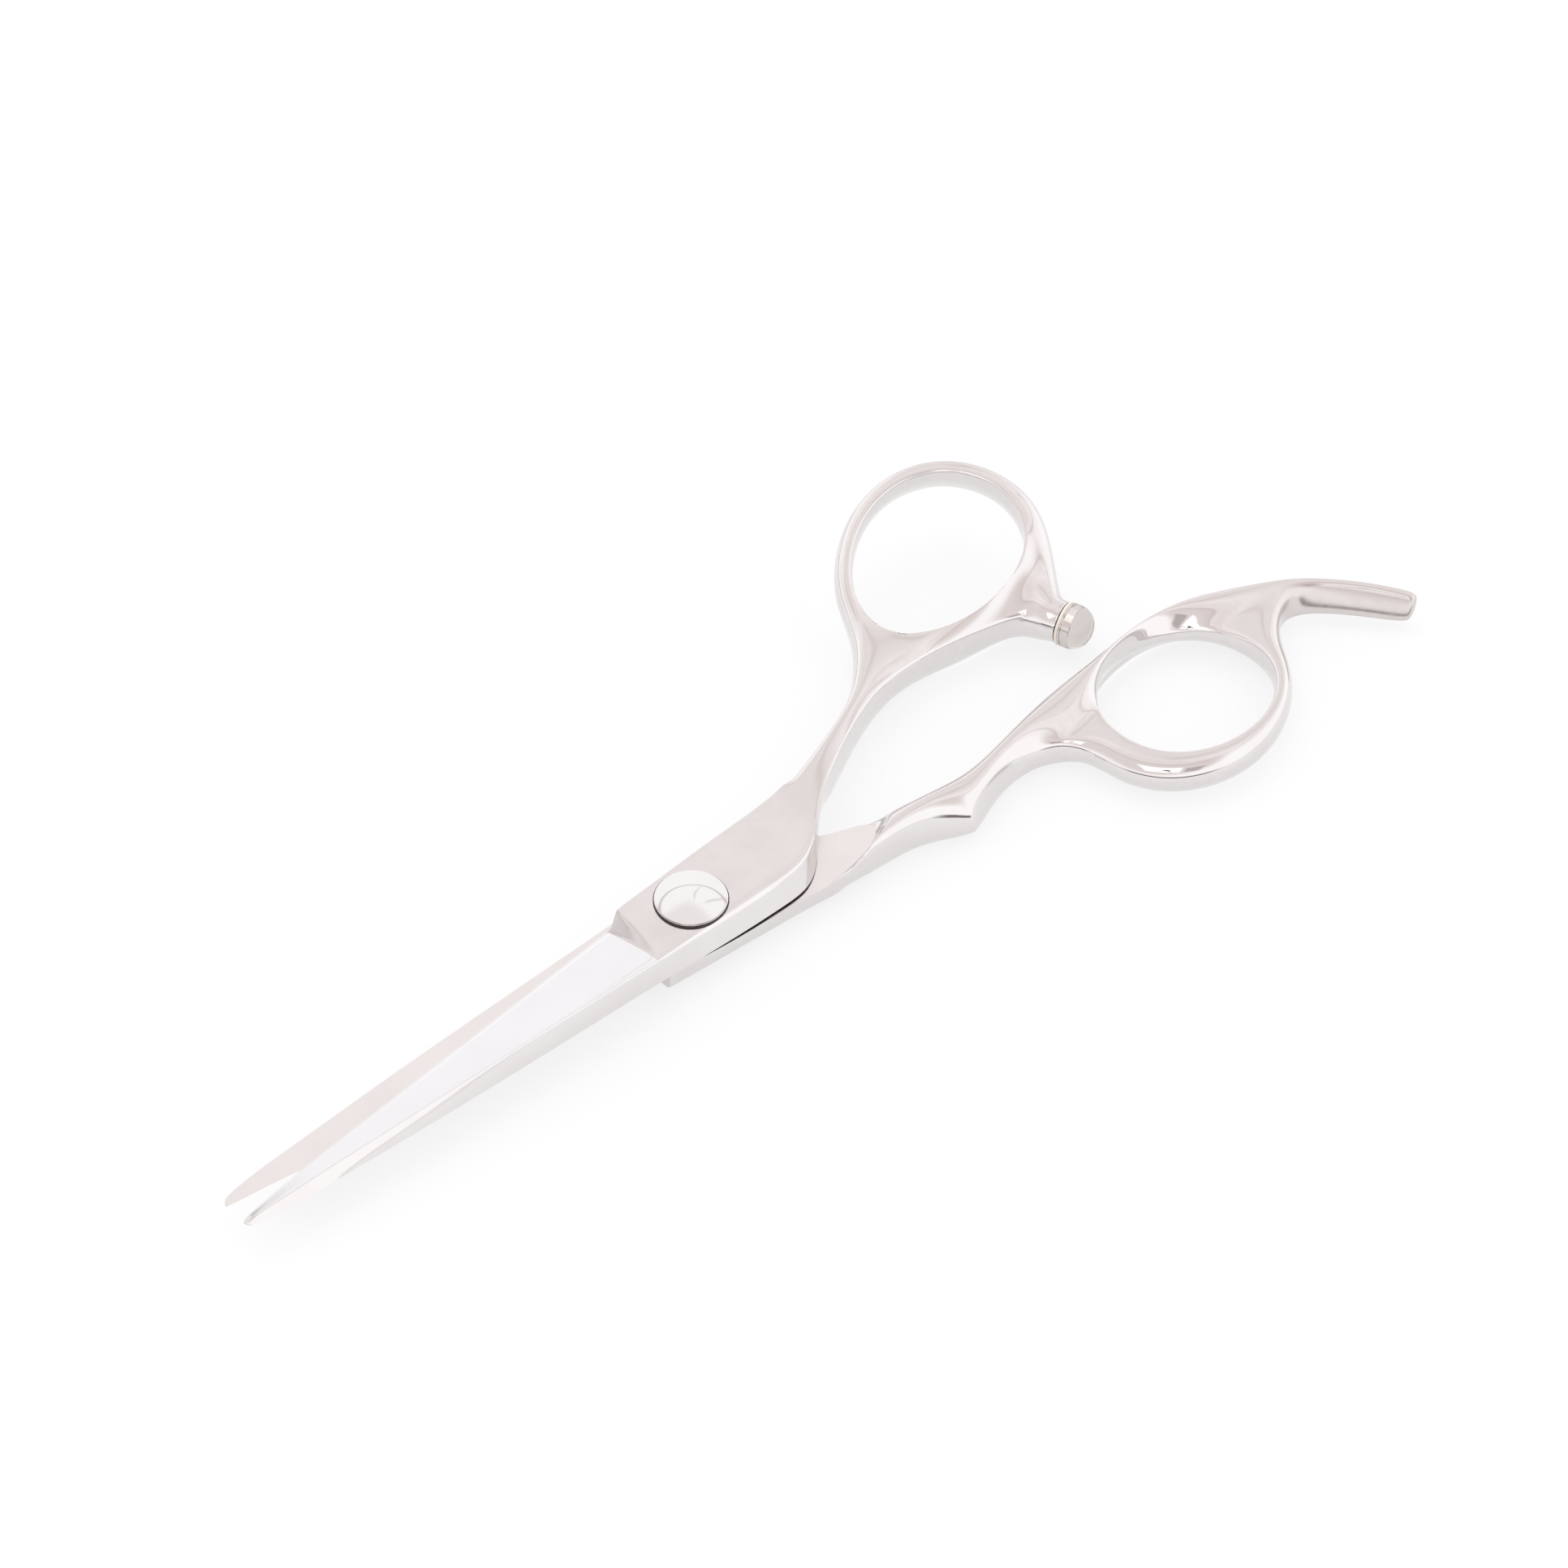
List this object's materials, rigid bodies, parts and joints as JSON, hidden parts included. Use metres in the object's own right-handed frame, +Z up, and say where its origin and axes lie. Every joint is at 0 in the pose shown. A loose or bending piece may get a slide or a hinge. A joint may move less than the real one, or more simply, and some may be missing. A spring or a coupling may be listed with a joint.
{
  "type": "hair cutting shears",
  "caption": "Offset-handle hair cutting shears with convex-edge blades, a ball-bearing pivot with an underside tension nut, a rest bumper and a curved finger tang.",
  "frame": {"origin": "centre of the pivot's lower end, on the face of the tension nut that meets the table", "axes": "+X from the pivot towards the handles, with the blade tips at -X; +Z up along the pivot towards the screw head; +Y towards the thumb loop"},
  "size_m": [0.1607, 0.0573, 0.0127],
  "materials": {
    "mirror_steel": "mirror polished cutlery steel, satin flats",
    "satin_steel": "satin steel",
    "bearing_steel": "ground steel",
    "black_polymer": "black polymer washer",
    "brown_polymer": "plain bearing polymer",
    "cream_polymer": "cream polymer",
    "clear_polymer": "clear smoky polymer"
  },
  "bodies": {
    "finger_body": {"finger_half": "mirror_steel", "pivot_screw": "mirror_steel", "head_disc": "bearing_steel", "head_washer": "black_polymer", "lower_race": "bearing_steel", "spring_washer": "bearing_steel", "click_plate": "bearing_steel"},
    "thumb_body": {"thumb_half": "mirror_steel", "pivot_bush": "brown_polymer", "upper_race": "bearing_steel", "bumper_stud": "bearing_steel", "bumper_seat": "cream_polymer", "bumper": "clear_polymer"},
    "cage_body": {"ball_cage": "brown_polymer", "bearing_ball_01": "bearing_steel", "bearing_ball_02": "bearing_steel", "bearing_ball_03": "bearing_steel", "bearing_ball_04": "bearing_steel", "bearing_ball_05": "bearing_steel", "bearing_ball_06": "bearing_steel", "bearing_ball_07": "bearing_steel", "bearing_ball_08": "bearing_steel", "bearing_ball_09": "bearing_steel", "bearing_ball_10": "bearing_steel"},
    "dial_body": {"tension_nut": "satin_steel"}
  },
  "joints": [
    {"name": "pivot", "type": "hinge", "parent": "finger_body", "child": "thumb_body", "pos_m": [0, 0, 0.0042], "axis": [0, 0, 1], "range_deg": [-2.8, 75]},
    {"name": "cage_roll", "type": "hinge", "parent": "finger_body", "child": "cage_body", "pos_m": [0, 0, 0.0042], "axis": [0, 0, 1], "range_deg": [-1.6, 38]},
    {"name": "tension_turn", "type": "hinge", "parent": "finger_body", "child": "dial_body", "pos_m": [0, 0, 0.0006], "axis": [0, 0, 1], "range_deg": [-90, 90]}
  ],
  "couplings": [
    {"joint": "cage_roll", "follows": "pivot", "ratio": 0.5}
  ]
}
